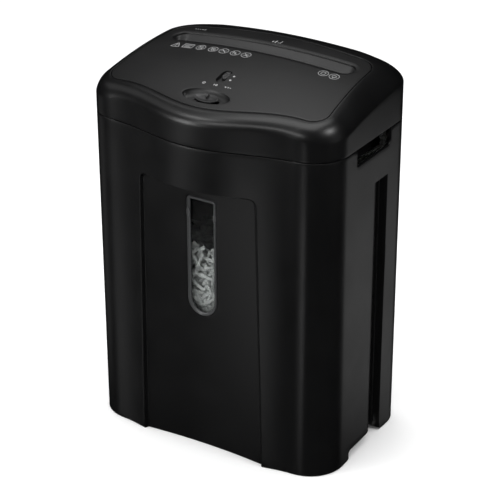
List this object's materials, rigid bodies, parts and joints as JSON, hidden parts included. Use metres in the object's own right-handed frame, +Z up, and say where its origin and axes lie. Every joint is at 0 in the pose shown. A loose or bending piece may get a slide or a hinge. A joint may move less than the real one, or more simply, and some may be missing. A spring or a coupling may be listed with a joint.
{
  "type": "paper shredder",
  "caption": "Upright office paper shredder: a domed cutter head that lifts off a tall waste bin with a front window.",
  "frame": {"origin": "middle of the footprint on the ground, under the centre of the overall box", "axes": "+Z up, -Y towards the bowed front with the window, +X to the right when facing the front from outside"},
  "size_m": [0.327, 0.2267, 0.4658],
  "materials": {
    "moulded_black": "fine-grain satin black moulding",
    "panel_black": "satin black moulding",
    "guide_black": "satin black moulding",
    "inner_black": "plain moulding",
    "window_trim": "frosted clear edge",
    "window_clear": "clear, slightly smoked",
    "control_black": "satin",
    "plate_steel": "zinc plated",
    "cutter_steel": "hardened, oiled",
    "bronze": "sintered bronze",
    "nylon_white": "nylon, greased",
    "sinter_grey": "sintered steel",
    "comb_grey": "glass-filled nylon",
    "motor_zinc": "zinc-plated can",
    "magnet": "ferrite",
    "copper": "wound core",
    "carbon": "carbon",
    "switch_black": "plain moulding",
    "board_green": "solder-masked board",
    "relay_blue": "moulded case",
    "capacitor_sleeve": "shrink sleeve",
    "coil_yellow": "taped coil",
    "terminal_tin": "tinned"
  },
  "bodies": {
    "bin": {"bin_body": "moulded_black", "window_bezel": "window_trim", "window_pane": "window_clear"},
    "head": {"head_cover": "moulded_black", "top_panel": "panel_black", "throat_guide": "guide_black", "head_base": "inner_black", "cord_inlet": "inner_black", "housing_screws": "plate_steel", "mode_switch": "switch_black", "lock_switch": "switch_black", "left_side_plate": "plate_steel", "right_side_plate": "plate_steel", "tie_rods": "plate_steel", "tie_rod_screws": "plate_steel", "cutter_bushes": "bronze", "front_comb": "comb_grey", "rear_comb": "comb_grey", "idler_pins": "plate_steel", "gear_plate": "plate_steel", "gear_plate_spacers": "plate_steel", "motor_can": "motor_zinc", "motor_magnets": "magnet", "motor_end_cap": "switch_black", "motor_front_bell": "motor_zinc", "motor_screws": "plate_steel", "motor_brushes": "carbon", "sensor_pin": "plate_steel", "sensor_switch": "switch_black", "interlock_switch": "switch_black", "control_board": "board_green", "board_relay": "relay_blue", "board_capacitor": "capacitor_sleeve", "board_transformer": "coil_yellow", "board_terminals": "terminal_tin", "board_screws": "plate_steel"},
    "mode_thumb": {"mode_slider": "control_black"},
    "lock_thumb": {"lock_slider": "control_black"},
    "paper_lever": {"sensor_lever": "nylon_white"},
    "bin_plunger": {"interlock_plunger": "nylon_white"},
    "front_roller": {"front_cutter": "cutter_steel", "front_sync_gear": "sinter_grey", "drive_gear": "nylon_white"},
    "rear_roller": {"rear_cutter": "cutter_steel", "rear_sync_gear": "sinter_grey"},
    "low_idler": {"idler_gear_low": "nylon_white"},
    "high_idler": {"idler_gear_high": "nylon_white"},
    "rotor": {"motor_rotor": "copper", "motor_fan": "switch_black", "motor_pinion": "bronze"}
  },
  "joints": [
    {"name": "head_lift", "type": "slide", "parent": "bin", "child": "head", "axis": [0, 0, 1], "range_m": [0, 0.06]},
    {"name": "mode_slide", "type": "slide", "parent": "head", "child": "mode_thumb", "axis": [1, 0, 0], "range_m": [-0.012, 0.012]},
    {"name": "lock_slide", "type": "slide", "parent": "head", "child": "lock_thumb", "axis": [0, 0.968, 0.2509], "range_m": [-0.008, 0]},
    {"name": "paper_lever_swing", "type": "hinge", "parent": "head", "child": "paper_lever", "pos_m": [0, 0.06, 0.436], "axis": [1, 0, 0], "range_deg": [0, 20], "stiffness_Nm_per_rad": 0.003, "springref_deg": -17.19},
    {"name": "bin_plunger_press", "type": "slide", "parent": "head", "child": "bin_plunger", "axis": [0, 0, 1], "range_m": [0, 0.002], "stiffness_N_per_m": 200, "springref_m": -0.004},
    {"name": "front_cutter_spin", "type": "hinge", "parent": "head", "child": "front_roller", "pos_m": [0, 0.0142, 0.402], "axis": [1, 0, 0], "continuous": true},
    {"name": "rear_cutter_spin", "type": "hinge", "parent": "head", "child": "rear_roller", "pos_m": [0, 0.0478, 0.402], "axis": [1, 0, 0], "continuous": true},
    {"name": "low_idler_spin", "type": "hinge", "parent": "head", "child": "low_idler", "pos_m": [0, -0.01892, 0.41674], "axis": [1, 0, 0], "continuous": true},
    {"name": "high_idler_spin", "type": "hinge", "parent": "head", "child": "high_idler", "pos_m": [0, -0.04334, 0.41244], "axis": [1, 0, 0], "continuous": true},
    {"name": "motor_spin", "type": "hinge", "parent": "head", "child": "rotor", "pos_m": [0, -0.04609, 0.39283], "axis": [1, 0, 0], "continuous": true}
  ],
  "couplings": [
    {"joint": "rear_cutter_spin", "follows": "front_cutter_spin", "ratio": -1},
    {"joint": "low_idler_spin", "follows": "front_cutter_spin", "ratio": -3.1429},
    {"joint": "high_idler_spin", "follows": "front_cutter_spin", "ratio": 10.776},
    {"joint": "motor_spin", "follows": "front_cutter_spin", "ratio": -48.49}
  ]
}
